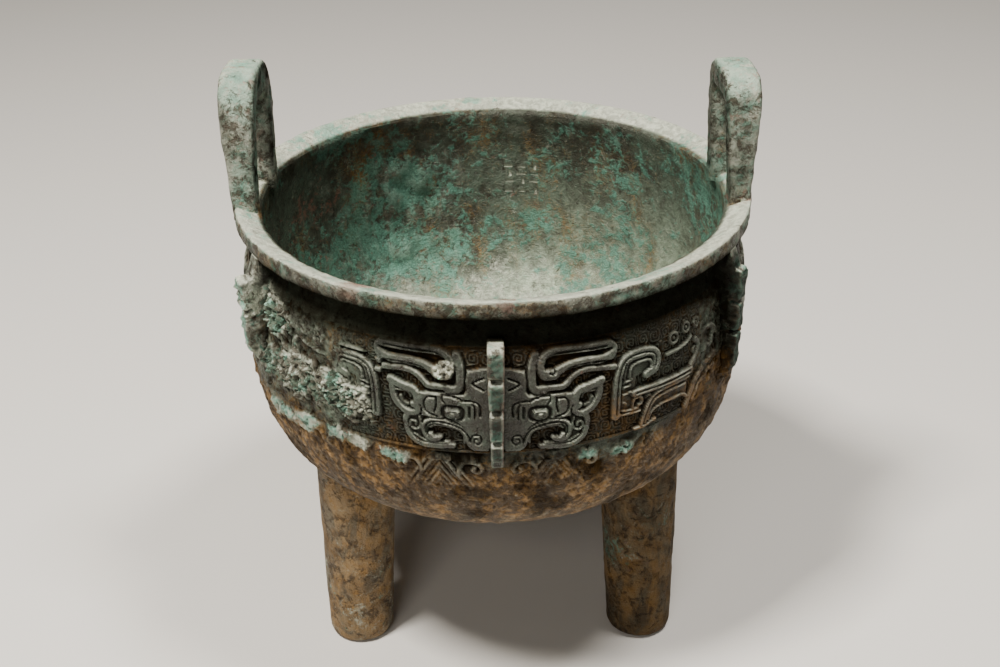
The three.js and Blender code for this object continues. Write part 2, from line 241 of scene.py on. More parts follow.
def mask_lift(u, z):
    """Lift of the half mask and its dragon over the ground, in millimetres."""
    up = np.zeros(u.shape)

    def raise_to(k, lift):
        up[k] = np.maximum(up[k], lift)

    for lift, outline in FIELDS:
        corners = path(outline)
        k = near(u, z, corners, 0.6)
        raise_to(k, lift * smooth(-0.3, 0.35, inside(u[k], z[k], corners)))
    for width, lift, row in RIDGES:
        k, x = across(u, z, width, row)
        edge = 1.0 + 0.34 / (width / 2)
        dome = 1.0 - 0.06 * np.clip(x, 0, 1) ** 2
        raise_to(k, (0.55 * lift + 0.55) * dome * (1 - smooth(0.78, edge, x)))
    for cu, cz, radius in RINGS:
        k = near(u, z, [(cu, cz)], radius + 1.5)
        d = np.hypot(u[k] - cu, z[k] - cz)
        raise_to(k, 0.9 * (1 - smooth(0.25, 0.85, np.abs(d - radius))))
        raise_to(k, 0.8 * (1 - smooth(0.35, 0.95, d)))
    cu, cz, hu, hz = EYE
    k = near(u, z, [(cu, cz)], 5)
    d = (np.abs((u[k] - cu) / hu) ** 3 + np.abs((z[k] - cz) / hz) ** 3) ** (1 / 3)
    up[k] -= 0.8 * (1 - smooth(0.12, 0.3, np.abs(d - 1.28)))
    raise_to(k, 3.0 * (1 - smooth(0.78, 1.12, d)) * (1.05 - 0.2 * np.clip(d, 0, 1) ** 2))
    up[k] -= 0.4 * (1 - smooth(0.08, 0.22, np.abs(d - 0.5)))
    for width, depth, row in GROOVES:
        k, x = across(u, z, width, row)
        up[k] -= depth * (1 - smooth(0.4, 1.7, x))
    return up


def blade_lift(angle, z):
    """Lift of the hanging blades, the curls in them and the lines between them, in millimetres."""
    step, half = 360.0 / BLADES, math.pi * WALL_R / BLADES
    off = np.abs(angle - np.rint(angle / step) * step) * math.pi / 180 * WALL_R
    slope = np.array([half - 0.6, 124.2 - BLADE_TIP])
    slope /= np.hypot(*slope)
    d = (z - BLADE_TIP) * slope[0] - off * slope[1]
    blade = np.zeros(z.shape)
    for at, width, lift in ((0.0, 0.6, 0.85), (2.0, 0.45, 0.6)):
        blade = np.maximum(blade, lift * (1 - smooth(width * 0.5, width * 1.6, np.abs(d - at))))
    between = smooth(0.5, 1.0, -d) * (0.5 - 0.5 * np.cos(math.tau * (d + 0.4) / BLADE_PITCH))
    blade = np.maximum(blade, 0.4 * between)
    curl = path(BLADE_CURL)
    k = near(off, z, curl, 2)
    blade[k] = np.maximum(blade[k], 0.9 * (1 - smooth(0.4, 1.0, distance(off[k], z[k], spline(curl)))))
    return blade


def relief(angle, z):
    """Lift of the outer wall, in millimetres, at an angle in degrees from the front and a height.

    Also returns how raised the carving is, from 0 in the ground's grooves to 1 on the masks."""
    turn = np.rint(angle / 120.0) * 120.0
    along = (angle - turn) * math.pi / 180 * WALL_R
    u = np.abs(along)
    drawn = np.where(turn == 0, z - MASK_RISE + MASK_TILT * along, z)
    tall = (turn == 0) & (along < TALL_FROM) & (drawn < TALL_TOP)
    drawn = np.where(tall, TALL_MIDDLE + (drawn - TALL_MIDDLE) * TALL_STRETCH, drawn)
    up = mask_lift(u, drawn)
    raised = np.clip(up / 1.6, 0, 1)
    # ground lines between the masks, a hollow inside the horn, and the borders of the frieze
    in_frieze = smooth(126.3, 126.6, z) * (1 - smooth(163.2, 163.6, z))
    bare = (1 - smooth(0.02, 0.25, up)) * in_frieze
    hollow = smooth(16.5, 18.5, u) * (1 - smooth(36, 38, u))
    hollow *= smooth(157.4, 158.4, drawn) * (1 - smooth(160.6, 161.4, drawn))
    front = (angle > FINE_SPAN[0]) & (angle < FINE_SPAN[1])
    lines = np.where(front, thunder_ground(u, drawn), PLAIN_GROUND) * (1 - hollow)
    up = up + bare * (LINE_LIFT * lines - LINE_SINK - 0.5 * hollow)
    for border, lift in ((125.6, 0.5), (164.2, 0.3)):
        up = np.maximum(up, lift * (1 - smooth(0.2, 0.6, np.abs(z - border))))
    # hanging blades under the frieze
    low = z < FRIEZE_LOW + 0.2
    blade, fade = blade_lift(angle, z), smooth(CARVED_FROM, 116, z)
    up = np.where(low, blade * fade, up)
    raised = np.where(low, np.clip(blade, 0, 1) * 0.6 * fade, raised + 0.25 * bare * lines)
    return up, np.clip(raised, 0, 1)


def cloud(co, scale, octaves, seed):
    """Seeded fractal noise at points in millimetres, about -1 to 1; scale is features per millimetre."""
    shift = Vector((seed * 17.3, seed * 5.7, seed * 9.1))
    points = (co * scale).tolist()
    return np.array([noise.fractal(Vector(p) + shift, 1.0, 2.0, octaves) for p in points])


# Bands of thick corrosion on the wall: half width in millimetres, and "degrees,height" pairs along the band.
CRUST_BANDS = [
    (7.0, "-66,138 -56,139.5 -46,140.5 -37,139.6 -29.5,138.4"),
    (3.6, "-58,118.5 -50,119.6 -44,121.4"),
    (2.6, "-37,122.4 -33,123.2 -29,121.8"),
    (2.4, "-24,121.2 -19.5,120.4"),
    (5.4, "-63,164.5 -57.5,160 -53,156"),
    (4.0, "-63.5,154 -62,146"),
    (2.6, "-11.2,156.4 -9.4,158.6"),
    (2.0, "18.2,120.8 20.2,120.6"),
    (2.4, "25.8,118.8 28.4,119.4"),
]
MM_PER_DEGREE = 1.65


def places(co):
    """Angle from the front in degrees, distance from the axis and height of points in millimetres."""
    return np.degrees(np.arctan2(co[:, 0], -co[:, 1])), np.hypot(co[:, 0], co[:, 1]), co[:, 2]


def spot(angle, z, at, height, wide, tall):
    """A soft round place on the turned body, 1 in its middle."""
    return np.exp(-(((angle - at + 180) % 360 - 180) / wide) ** 2 - ((z - height) / tall) ** 2)


def crust_zone(co):
    """Where thick corrosion lies on the outer wall, 0 to 1."""
    angle, _, z = places(co)
    crust = np.zeros(z.shape)
    for half, row in CRUST_BANDS:
        line = [np.array((a * MM_PER_DEGREE, h)) for a, h in path(row)]
        k = near(angle * MM_PER_DEGREE, z, line, half * 2.0)
        ragged = 0.55 * cloud(co[k], 0.17, 3, 24)
        d = distance(angle[k] * MM_PER_DEGREE, z[k], line) / half
        crust[k] = np.maximum(crust[k], 1 - smooth(0.25, 1.5, d + ragged))
    return crust


def bare_zone(angle, z):
    """Where the earth has come off the blades under the front mask, 0 to 1."""
    return np.clip(1.1 * spot(angle, z, -8, 120, 10, 8) + 0.6 * spot(angle, z, 6, 121, 6, 6)
                   + 0.8 * spot(angle, z, 23, 118, 6, 10), 0, 1)


def weather_zone(angle, z):
    """Where the relief is eaten and half buried, 0 to 1."""
    left = smooth(-96, -70, angle) * (1 - smooth(-36, -24, angle))
    right = smooth(43, 52, angle) * (1 - smooth(66, 90, angle))
    return np.maximum(left, 1.3 * right) * smooth(116, 128, z)


def length(name, description, default):
    """A property for a length, in metres."""
    return FloatProperty(name=name, description=description, default=default, unit="LENGTH")


def shade(name, description, rgb):
    """A property for a colour."""
    return FloatVectorProperty(name=name, description=description, default=rgb + (1,), subtype="COLOR",
                               size=4, min=0, max=1)


class DingSizes(bpy.types.PropertyGroup):
    """Sizes of the vessel."""

    belly_radius: length("Belly Radius", "Outside of the wall at its widest", 0.094)
    belly_height: length("Belly Height", "Height of the widest part", 0.1396)
    bowl_depth: length("Bowl Depth", "From the widest part down to the outside bottom", 0.07)
    squareness: FloatProperty(name="Squareness", description="How square the lower bowl is; 2 is an ellipse",
                              default=3.3)
    neck_height: length("Neck Height", "Height of the neck under the lip", 0.1725)
    neck_draw: length("Neck Draw", "How far the neck lies inside the widest part", 0.005)
    wall: length("Wall", "Thickness of the wall", 0.0045)
    lip_radius: length("Lip Radius", "Outside of the lip", 0.095)
    lip_inner: length("Lip Inner Radius", "Inner edge of the lip", 0.0856)
    lip_height: length("Lip Height", "Height of the lip's outer top edge", 0.1822)
    lip_side: length("Lip Side", "Height of the lip's side", 0.0066)
    lip_dish: length("Lip Dish", "How far the lip's top falls inwards", 0.0034)
    leg_out: length("Leg Distance", "From the axis to the middle of a foot", 0.066)
    leg_lean: FloatProperty(name="Leg Lean", description="How far a leg leans inwards per unit of height",
                            default=0.03)
    foot_radius: length("Foot Radius", "Radius of a foot", 0.0128)
    leg_flare: FloatProperty(name="Leg Flare", description="How much a leg widens per unit of height",
                             default=0.026)
    ear_height: length("Ear Height", "Height of the top of the ears", 0.23)
    ear_half: length("Ear Half Width", "Half the width of an ear", 0.0188)
    ear_hole: length("Ear Hole Half Width", "Half the width of an ear's hole", 0.0108)
    ear_hole_top: length("Ear Hole Top", "Height of the top of an ear's hole", 0.2165)
    flange_radius: length("Flange Radius", "Outer edge of the flanges", 0.103)
    flange_thick: length("Flange Thickness", "Thickness of a flange", 0.0044)


class DingFinish(bpy.types.PropertyGroup):
    """Colours of the patina; the soot colour also paints shade."""

    bronze: shade("Dark Bronze", "Smooth dark patina", (0.034, 0.033, 0.023))
    olive: shade("Olive", "Grey-green patina", (0.074, 0.101, 0.073))
    pale: shade("Pale", "Pale grey-green crust", (0.48, 0.50, 0.40))
    film: shade("Film", "Thin grey-green film", (0.445, 0.525, 0.385))
    malachite: shade("Malachite", "Turquoise-green crust", (0.13, 0.33, 0.245))
    earth: shade("Earth", "Brown earth baked on the metal", (0.272, 0.140, 0.032))
    # Soot darkens the groove fill and also paints shade: under the lip, on shaded sides of lip, flanges and
    # ears, on the right leg and inside.
    soot_and_painted_shade: shade("Soot", "Dark filling of the grooves", (0.0045, 0.003, 0.0016))
    red: shade("Red", "Spots of red copper oxide", (0.20, 0.095, 0.066))


class DingStage(bpy.types.PropertyGroup):
    """Camera and light."""

    lens: FloatProperty(name="Lens", description="Focal length", default=50.0, subtype="DISTANCE_CAMERA")
    distance_back: length("Camera Distance", "From the axis to the camera, on the level", 0.47766)
    eye_height: length("Eye Height", "Height of the camera", 0.38562)
    pitch: FloatProperty(name="Pitch", description="How far the camera looks down",
                         default=math.radians(29.26), subtype="ANGLE")
    roll: FloatProperty(name="Roll", description="How far the camera is tilted",
                        default=math.radians(0.86), subtype="ANGLE")
    floor_shade: shade("Floor", "Colour of the floor", (0.62, 0.60, 0.56))


def clear_selection():
    """Leaves nothing selected, in object mode."""
    if bpy.context.mode != "OBJECT":
        bpy.ops.object.mode_set(mode="OBJECT")
    for o in list(bpy.context.selected_objects):
        o.select_set(False)


def make_active(obj):
    """Selects one object alone and makes it active."""
    clear_selection()
    obj.select_set(True)
    bpy.context.view_layer.objects.active = obj


def new_object(name, points, edges, faces):
    """A new mesh object, selected alone."""
    mesh = bpy.data.meshes.new(name)
    mesh.from_pydata(points, edges, faces)
    obj = bpy.data.objects.new(name, mesh)
    bpy.context.scene.collection.objects.link(obj)
    make_active(obj)
    return obj


def edit(obj):
    """Opens a mesh for editing, with everything selected."""
    make_active(obj)
    bpy.ops.object.mode_set(mode="EDIT")
    bpy.ops.mesh.select_all(action="SELECT")


def leave_edit(weld=0.0):
    """Welds the points nearer than a distance, turns the faces outwards and leaves the mesh."""
    bpy.ops.mesh.select_all(action="SELECT")
    if weld:
        bpy.ops.mesh.remove_doubles(threshold=weld)
    bpy.ops.mesh.normals_make_consistent(inside=False)
    bpy.ops.object.mode_set(mode="OBJECT")


def extrude(steps, *step):
    """Draws what is selected out in a number of steps."""
    for _ in range(steps):
        bpy.ops.mesh.extrude_region_move(TRANSFORM_OT_translate={"value": step})


def turn_profile(name, profile, steps):
    """Spins a profile of (radius, height) about the upright axis into a closed body."""
    links = [(i, i + 1) for i in range(len(profile) - 1)]
    obj = new_object(name, [(0, -r, z) for r, z in profile], links, [])
    edit(obj)
    bpy.ops.mesh.spin(steps=steps, angle=math.tau, center=(0, 0, 0), axis=(0, 0, 1))
    leave_edit(weld=2e-6)
    return obj


def cut_finer(obj, wanted, cuts):
    """Subdivides the faces whose middles are wanted."""
    edit(obj)
    bpy.ops.mesh.select_mode(type="FACE")
    bpy.ops.mesh.select_all(action="DESELECT")
    shell = bmesh.from_edit_mesh(obj.data)
    for face in shell.faces:
        face.select_set(bool(wanted(face.calc_center_median() / MM)))
    bmesh.update_edit_mesh(obj.data)
    bpy.ops.mesh.subdivide(number_cuts=cuts - 1)
    bpy.ops.object.mode_set(mode="OBJECT")


def points_of(obj):
    """A mesh's points in millimetres."""
    co = np.empty(len(obj.data.vertices) * 3)
    obj.data.vertices.foreach_get("co", co)
    return co.reshape(-1, 3) / MM


def normals_of(obj):
    """A mesh's point normals."""
    n = np.empty(len(obj.data.vertices) * 3)
    obj.data.vertex_normals.foreach_get("vector", n)
    return n.reshape(-1, 3)


def move_points(obj, co):
    """Puts a mesh's points, in millimetres, in their new places."""
    obj.data.vertices.foreach_set("co", (co * MM).ravel())
    obj.data.update()


def apply_boolean(body, tool, operation):
    """Joins or cuts a body with another and removes the other."""
    make_active(body)
    cut = body.modifiers.new(operation.title(), "BOOLEAN")
    cut.operation = operation
    cut.solver = "MANIFOLD"
    cut.object = tool
    bpy.ops.object.modifier_apply(modifier=cut.name)
    bpy.data.objects.remove(tool, do_unlink=True)


def outer_wall(s, z):
    """Outside radius of the plain wall at a height, in millimetres."""
    belly, middle = s.belly_radius / MM, s.belly_height / MM
    t = np.clip((middle - z) / (s.bowl_depth / MM), 0, 1)
    low = belly * (1 - t ** s.squareness) ** (1 / s.squareness)
    t = np.clip((z - middle) / ((s.neck_height - s.belly_height) / MM), 0, 1)
    return np.where(z < middle, low, belly - s.neck_draw / MM * t * t)


def wall_thick(s, z):
    """Thickness of the wall at a height above the widest part, in millimetres; it thins towards the lip."""
    return s.wall / MM - 1.7 * smooth(145, 174, z)


def wall_at(s, z):
    """Outside radius of the plain wall at one height, in millimetres."""
    return float(outer_wall(s, np.float64(z)))


def bowl_profile(s):
    """The turned profile, from the outside bottom over the lip to the inside bottom."""
    belly, middle, n = s.belly_radius / MM, s.belly_height / MM, s.squareness
    depth, wall = s.bowl_depth / MM, s.wall / MM
    profile = [(0.0, middle - depth)]
    start = math.asin(min(1.0, (middle - BLADES_LOW) / depth) ** (n / 2))
    for k in range(1, 13):
        t = math.pi / 2 + (start - math.pi / 2) * k / 12
        profile.append((belly * max(math.cos(t), 0) ** (2 / n), middle - depth * math.sin(t) ** (2 / n)))
    heights = [BLADES_LOW + (FRIEZE_LOW - BLADES_LOW) * k / BLADE_ROWS for k in range(1, BLADE_ROWS + 1)]
    heights += [FRIEZE_LOW + (FRIEZE_HIGH - FRIEZE_LOW) * k / FRIEZE_ROWS for k in range(1, FRIEZE_ROWS + 1)]
    heights += [168.4, 170.6, s.neck_height / MM]
    profile += [(wall_at(s, z), z) for z in heights]
    # the lip: its underside, its side and its dished top
    lip, inner, top = s.lip_radius / MM, s.lip_inner / MM, s.lip_height / MM
    side, dish = s.lip_side / MM, s.lip_dish / MM
    base, low, flat = top - side, top - dish, lip - 1.1
    profile += [(90.4, base - 1.4), (92.4, base - 0.4), (lip - 0.9, base), (lip - 0.2, base + 0.5)]
    profile += [(lip, base + 1.4), (lip, base + side * 0.45), (lip, base + side * 0.7), (lip, top - 0.9)]
    profile += [(lip - 0.35, top - 0.25), (flat, top - 0.1)]
    profile += [(flat + (inner - flat) * f, top - 0.1 + (0.1 - dish) * f) for f in (0.25, 0.5, 0.75)]
    profile += [(inner + 0.6, low + 0.1), (inner - 0.1, low - 0.5), (inner - 0.2, low - 1.6)]
    # the inside, down to the bottom
    inside_r, inside_d = belly - wall, depth - wall
    heights = (174.0, 171.0, 166.0, 160.0, 152.0, 145.0)
    profile += [(wall_at(s, z) - float(wall_thick(s, z)), z) for z in heights]
    for k in range(0, 20):
        t = math.pi / 2 * k / 20
        profile.append((inside_r * math.cos(t) ** (2 / n), middle - inside_d * math.sin(t) ** (2 / n)))
    profile.append((0.0, middle - inside_d))
    return [(r * MM, z * MM) for r, z in profile]


class MESH_OT_ding_bowl(bpy.types.Operator):
    """Turns the bowl with its lip and raises the masks, blades and crusts on its wall"""

    bl_idname = "mesh.ding_bowl"
    bl_label = "Bowl"

    def execute(self, context):
        s = context.scene.ding_sizes
        bowl = turn_profile("ding_bowl", bowl_profile(s), COLUMNS)
        self.cut_carved(s, bowl)
        co = points_of(bowl)
        co += normals_of(bowl) * self.raised(s, co)[:, None]
        move_points(bowl, co)
        return {"FINISHED"}

    def cut_carved(self, s, bowl):
        """Cuts the faces that take carving or lumps, most finely at the front."""
        def on_wall(c):
            return math.hypot(c.x, c.y) > wall_at(s, c.z) - SKIN

        def turned(c):
            return math.degrees(math.atan2(c.x, -c.y))

        def in_frieze(c):
            return FRIEZE_LOW < c.z < FRIEZE_HIGH and on_wall(c)

        def fine(c):
            return FINE_SPAN[0] < turned(c) < FINE_SPAN[1]

        def middle(c):
            return not fine(c) and MIDDLE_SPAN[0] < turned(c) < MIDDLE_SPAN[1]

        cut_finer(bowl, lambda c: in_frieze(c) and fine(c), FINE_CUTS)
        cut_finer(bowl, lambda c: in_frieze(c) and middle(c), MIDDLE_CUTS)
        cut_finer(bowl, lambda c: in_frieze(c) and not fine(c) and not middle(c), BACK_CUTS)
        for front, back, low, high, cuts in BLADE_CUTS:
            cut_finer(bowl, lambda c: low < c.z < high and front < abs(turned(c)) < back and on_wall(c), cuts)
        start, end, low, high, cuts = INSIDE_CUT
        cut_finer(bowl, lambda c: not on_wall(c) and start < turned(c) < end and low < c.z < high, cuts)

    def raised(self, s, co):
        """How far each point stands out of the plain turned form, in millimetres."""
        angle, r, z = places(co)
        k = np.nonzero((z > CARVED_FROM) & (z < FRIEZE_HIGH + 0.1) & (r > outer_wall(s, z) - SKIN))[0]
        on, turned, height = co[k], angle[k], z[k]
        low = height < FRIEZE_LOW
        crust, eaten = crust_zone(on), weather_zone(turned, height)
        cover = np.clip(crust * (1.1 + 0.9 * cloud(on, 0.22, 3, 1)), 0, 1.2) * np.where(low, 0.6, 1)
        lumps, crumbs = np.abs(cloud(on, 0.34, 3, 2)), cloud(on, 0.8, 2, 4)
        buried = smooth(-0.3, 0.2, cloud(on, 0.09, 3, 15)) * (1 - bare_zone(turned, height))
        buried = np.where(low, buried, 0.55 * eaten)
        carved, _ = relief(turned, height)
        lift = np.zeros(len(co))
        lift[k] = carved * (1 - 0.7 * np.clip(cover, 0, 1)) * (1 - 0.75 * buried)
        lift[k] += cover * (0.8 + 3.0 * lumps + 0.9 * crumbs)
        lift[k] += eaten * (0.7 * cloud(on, 0.16, 3, 20) + 0.3 * crumbs)
        worn = (1 - smooth(116, 126, z)) * (1 - 0.8 * bare_zone(angle, z))
        lift += (0.08 + 0.34 * worn) * cloud(co, 0.33, 3, 3) + 0.30 * worn * cloud(co, 0.75, 2, 9)
        lift += 0.32 * smooth(174, 176, z) * cloud(co, 0.25, 3, 21)
        inner = (r < outer_wall(s, z) - 2.6) & (z < 178)
        blobs = spot(angle, z, -141, 118, 22, 24) + 0.7 * spot(angle, z, -155, 146, 16, 16)
        blobs = 4.0 * np.clip(blobs, 0, 1) * np.clip(cloud(co, 0.14, 3, 19), 0, 1)
        return lift + inner * (0.35 * cloud(co, 0.10, 3, 17) + blobs)


LEG_TURNS = (-60, 60, 180)
LEG_TOP, LEG_SIDES = 90.0, 44


def under_bowl(s, r):
    """Height of the outside of the bowl's bottom at a distance from the axis."""
    t = np.clip(r / (s.belly_radius / MM), 0, 1)
    return s.belly_height / MM - s.bowl_depth / MM * (1 - t ** s.squareness) ** (1 / s.squareness)


class MESH_OT_ding_legs(bpy.types.Operator):
    """Turns the legs, flares them into the bowl and joins them to it"""

    bl_idname = "mesh.ding_legs"
    bl_label = "Legs"

    def execute(self, context):
        s = context.scene.ding_sizes
        bowl = bpy.data.objects["ding_bowl"]
        foot = s.foot_radius / MM
        profile = [(0, 0), (foot * 0.5, 0), (foot - 3.2, 0), (foot - 1.7, 0.35), (foot - 0.6, 1.4)]
        profile += [(foot, 3.2)] + [(foot + s.leg_flare * z, z) for z in np.linspace(5, LEG_TOP, 30)]
        profile += [(8, LEG_TOP), (0, LEG_TOP)]
        for turn in LEG_TURNS:
            leg = turn_profile("ding_leg", [(r * MM, z * MM) for r, z in profile], LEG_SIDES)
            co = points_of(leg)
            _, r, z = places(co)
            out = np.array([math.sin(math.radians(turn)), -math.cos(math.radians(turn)), 0])
            set_out = co + out * (s.leg_out / MM - s.leg_lean * z)[:, None]
            ceiling, part = under_bowl(s, places(set_out)[1]), z / LEG_TOP
            fillet = 5.0 * np.clip(1 - (1 - part) * ceiling / 9.0, 0, 1) ** 2.2
            fillet *= 1 - 0.85 * smooth(-0.2, 0.7, (co @ out) / np.maximum(r, 1))
            pits = 0.16 * cloud(set_out, 0.30, 4, 5) + 0.25 * cloud(set_out, 0.06, 2, 6)
            grow = np.where(r > 4, (fillet + pits * (z > 0.2) * (part < 0.93)) / np.maximum(r, 1), 0)
            set_out[:, :2] += co[:, :2] * grow[:, None]
            set_out[:, 2] = part * (under_bowl(s, places(set_out)[1]) + 2.2)
            move_points(leg, set_out)
            apply_boolean(bowl, leg, "UNION")
        return {"FINISHED"}


# An ear's bar, in metres: its depth, the rounding of its edges, the bend of its corners and where it starts.
EAR_DEEP, EAR_ROUND, EAR_BEND, EAR_START = 0.0112, 0.0019, 0.0092, 0.1768
POST_STEPS, BEND_STEPS, TOP_STEPS = 16, 9, 6
# Each ear: its side, how much of its top is worn off, and where its outer and inner faces lie, low and high.
EARS = [(-1, 0.001, (94.2, 96.2), (85.4, 82.6)), (1, 0.0034, (93.1, 95.2), (85.4, 81.8))]


class MESH_OT_ding_ears(bpy.types.Operator):
    """Sweeps the two upright loop ears and joins them to the lip"""

    bl_idname = "mesh.ding_ears"
    bl_label = "Ears"

    def execute(self, context):
        s = context.scene.ding_sizes
        for side, loss, outer, inner in EARS:
            ear = self.loop(s)
            self.shape(s, ear, side, s.ear_height - loss, outer, inner)
            apply_boolean(bpy.data.objects["ding_bowl"], ear, "UNION")
        return {"FINISHED"}

    def loop(self, s):
        """A rounded bar led up, over and down."""
        post, mid = s.ear_half - s.ear_hole, (s.ear_half + s.ear_hole) / 2
        rise = s.ear_hole_top + post / 2 - EAR_BEND
        clear_selection()
        bpy.ops.mesh.primitive_plane_add(size=1, location=(0, -mid, EAR_START))
        ear = bpy.context.object
        ear.name = "ding_ear"
        edit(ear)
        bpy.ops.transform.resize(value=(EAR_DEEP, post, 1), center_override=(0, -mid, EAR_START))
        bpy.ops.mesh.subdivide(number_cuts=1)
        corners = [v for v in bmesh.from_edit_mesh(ear.data).verts if len(v.link_edges) == 2]
        bpy.ops.mesh.select_mode(type="VERT")
        bpy.ops.mesh.select_all(action="DESELECT")
        for v in corners:
            v.select_set(True)
        bmesh.update_edit_mesh(ear.data)
        bpy.ops.mesh.bevel(offset=EAR_ROUND, segments=3, affect="VERTICES")
        bpy.ops.mesh.select_mode(type="FACE")
        bpy.ops.mesh.select_all(action="SELECT")
        lift, quarter = (rise - EAR_START) / POST_STEPS, math.pi / 2
        extrude(POST_STEPS, 0, 0, lift)
        bpy.ops.mesh.spin(steps=BEND_STEPS, angle=quarter, center=(0, -mid + EAR_BEND, rise), axis=(1, 0, 0))
        extrude(TOP_STEPS, 0, 2 * (mid - EAR_BEND) / TOP_STEPS, 0)
        bpy.ops.mesh.spin(steps=BEND_STEPS, angle=quarter, center=(0, mid - EAR_BEND, rise), axis=(1, 0, 0))
        extrude(POST_STEPS, 0, 0, -lift)
        leave_edit(weld=1e-6)
        bpy.ops.object.transform_apply(location=True, rotation=True, scale=True)
        return ear

    def shape(self, s, ear, side, height, outer, inner):
        """Brings a loop to its side and height, toes it in a little at the back and wears it."""
        co = points_of(ear)
        z = co[:, 2]
        top, low = s.ear_hole_top / MM, s.lip_height / MM
        bar = (height - s.ear_hole_top) / (s.ear_half - s.ear_hole)
        z = np.where(z > top, top + (z - top) * bar, z)
        up = np.clip((z - low) / (height / MM - low), 0, 1)
        near_x = inner[0] + (inner[1] - inner[0]) * up
        far_x = outer[0] + (outer[1] - outer[0]) * up
        toe = (3.4 - 1.8 * up) * smooth(-1.2, 1.2, co[:, 1] / (s.ear_half / MM))
        through = co[:, 0] / (EAR_DEEP / MM) + 0.5
        co = np.stack([side * (near_x + (far_x - near_x) * through - toe), co[:, 1], z], 1)
        worn = 0.34 * cloud(co, 0.20, 4, 7) + 0.16 * cloud(co, 0.6, 2, 13)
        move_points(ear, co + normals_of(ear) * np.array([side, 1, 1]) * worn[:, None])
        if side < 0:
            edit(ear)
            bpy.ops.mesh.flip_normals()
            bpy.ops.object.mode_set(mode="OBJECT")


# Each flange: its angle from the front, the height of its foot, how far its rim is worn back, and its lumps.
FLANGES = [(0, 122, 0, 0.25), (120, 122, 0, 0), (180, 122, 0, 0), (240, 122, 0, 0), (60, 127, 2.8, 0.6),
           (-60, 138, 0.9, 0.95)]
FLANGE_SLOTS = (133.6, 145.4, 157.2)
# The top of the spur that joins a flange to the lip; the lumpiness over which a flange shows ribs too.
SPUR_TOP, RIBBED = 176.8, 0.9
EDGE_WIDTH, EDGE_ANGLE = 0.0006, math.radians(50)


class MESH_OT_ding_flanges(bpy.types.Operator):
    """Extrudes the notched flanges, as whole or broken as they are, and joins them to the wall"""

    bl_idname = "mesh.ding_flanges"
    bl_label = "Flanges"

    def execute(self, context):
        s = context.scene.ding_sizes
        bowl = bpy.data.objects["ding_bowl"]
        for turn, foot, loss, lumps in FLANGES:
            plate = self.plate(s, turn, foot, s.flange_radius / MM - loss, lumps)
            self.set_out(plate, turn, foot, lumps)
            apply_boolean(bowl, plate, "UNION")
        return {"FINISHED"}

    def plate(self, s, turn, foot, rim, lumps):
        """A flange laid along +X, from its foot up to the lip, with the slots in its rim."""
        thick = s.flange_thick / MM
        edge = [(rim - 6.5, foot), (rim - 4.2, foot + 0.6), (rim - 2.4, foot + 2.2), (rim - 1.0, foot + 5)]
        for h in FLANGE_SLOTS:
            if h > foot + 8:
                edge += [(rim - 0.5, h - 1.6), (rim - 1.4, h - 0.9), (rim - 3.6, h - 0.7), (rim - 3.9, h),
                         (rim - 3.6, h + 0.7), (rim - 1.4, h + 0.9), (rim - 0.3, h + 1.6)]
        spur = turn != 0
        crest = 170.2 if spur else 168.4
        edge += [(rim, crest - 1.8), (rim - 0.5, crest - 0.4), (rim - 1.6, crest), (97.6, crest - 0.2)]
        edge += [(96.8, 171.2), (95.2, SPUR_TOP)] if spur else [(93, crest - 0.6)]
        back = np.linspace(SPUR_TOP if spur else crest - 0.8, foot, 8)
        edge += [(wall_at(s, h) - 2.0, float(h)) for h in back]
        points = [(r * MM, -thick / 2 * MM, h * MM) for r, h in edge]
        plate = new_object("ding_flange", points, [], [range(len(edge))])
        edit(plate)
        extrude(1, 0, thick * MM, 0)
        leave_edit()
        soft = plate.modifiers.new("Edges", "BEVEL")
        soft.width = EDGE_WIDTH
        soft.segments = 2
        soft.limit_method = "ANGLE"
        soft.angle_limit = EDGE_ANGLE
        bpy.ops.object.modifier_apply(modifier=soft.name)
        if lumps:
            self.slice_up(plate, np.arange(foot + 1.4, 169.5, 1.4), 2)
            self.slice_up(plate, np.arange(93.5, rim, 1.7), 0)
            self.slice_up(plate, (-thick / 4, thick / 4), 1)
        return plate

    def set_out(self, plate, turn, foot, lumps):
        """Turns a flange to its angle, thickens it upwards, and wears and crusts its free part."""
        co = points_of(plate)
        free = smooth(94.5, 98, co[:, 0])
        co[:, 1] *= 0.92 + 0.34 * smooth(foot, 170, co[:, 2])
        way = math.radians(turn)
        out, along = np.array([math.sin(way), -math.cos(way), 0]), np.array([math.cos(way), math.sin(way), 0])
        co = co[:, :1] * out + co[:, 1:2] * along + co[:, 2:] * np.array([0, 0, 1])
        co += (0.25 * free * cloud(co, 0.3, 3, 8))[:, None] * out
        move_points(plate, co)
        if lumps:
            ribs = 0.35 * np.sin(co[:, 2] * 2.1 + 2 * cloud(co, 0.1, 2, 22))
            heap = np.abs(cloud(co, 0.28, 3, 23)) - 0.15 + (ribs if lumps > RIBBED else 0)
            move_points(plate, co + normals_of(plate) * (lumps * free * heap)[:, None])

    def slice_up(self, obj, cuts, axis):
        """Slices a plate across one axis, so that its faces can take lumps."""
        edit(obj)
        for at in cuts:
            place, facing = [0.0, 0.0, 0.0], [0.0, 0.0, 0.0]
            place[axis], facing[axis] = at * MM, 1.0
            bpy.ops.mesh.select_all(action="SELECT")
            bpy.ops.mesh.bisect(plane_co=place, plane_no=facing)
        bpy.ops.object.mode_set(mode="OBJECT")


# The inscription: its angle, the height of its lowest row, and the pitch and number of its columns and rows.
SCRIPT_AT, SCRIPT_LOW, SCRIPT_COLUMN, SCRIPT_ROW = 171.8, 141.2, 3.6, 3.9
SCRIPT_COLUMNS, SCRIPT_ROWS = 3, 4
STROKE_THIN, STROKE_DEEP = 1.4, 1.3


